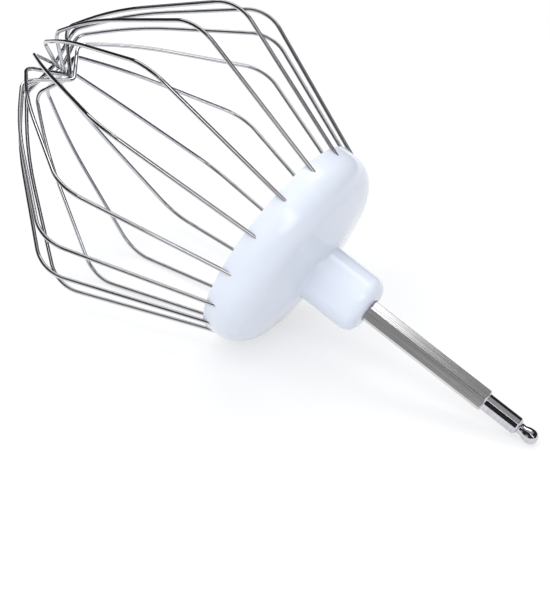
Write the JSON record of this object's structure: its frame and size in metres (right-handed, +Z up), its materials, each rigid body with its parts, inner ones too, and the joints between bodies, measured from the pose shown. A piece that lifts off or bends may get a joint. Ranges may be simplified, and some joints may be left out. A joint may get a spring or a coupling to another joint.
{
  "type": "stand mixer wire whisk",
  "caption": "Balloon whisk for a stand mixer: bent steel wires moulded into a white plastic hub, driven by a hexagonal steel shaft with a round journal and a ball tip.",
  "frame": {"origin": "centre of the footprint, on the surface that the whisk lies on", "axes": "+Z up from that surface, +X along the whisk from the wire crown to the ball tip, with the shaft sloping down to the surface"},
  "size_m": [0.2314, 0.1304, 0.1247],
  "materials": {
    "hub_plastic": "moulded, glossy",
    "shaft_steel": "turned and polished",
    "wire_steel": "bright drawn wire"
  },
  "bodies": {
    "root": {"hub": "hub_plastic", "drive_shaft": "shaft_steel", "wire_loop_1": "wire_steel", "wire_loop_2": "wire_steel", "wire_loop_3": "wire_steel", "wire_loop_4": "wire_steel", "wire_loop_5": "wire_steel", "wire_loop_6": "wire_steel", "wire_loop_7": "wire_steel", "wire_loop_8": "wire_steel"}
  },
  "joints": []
}
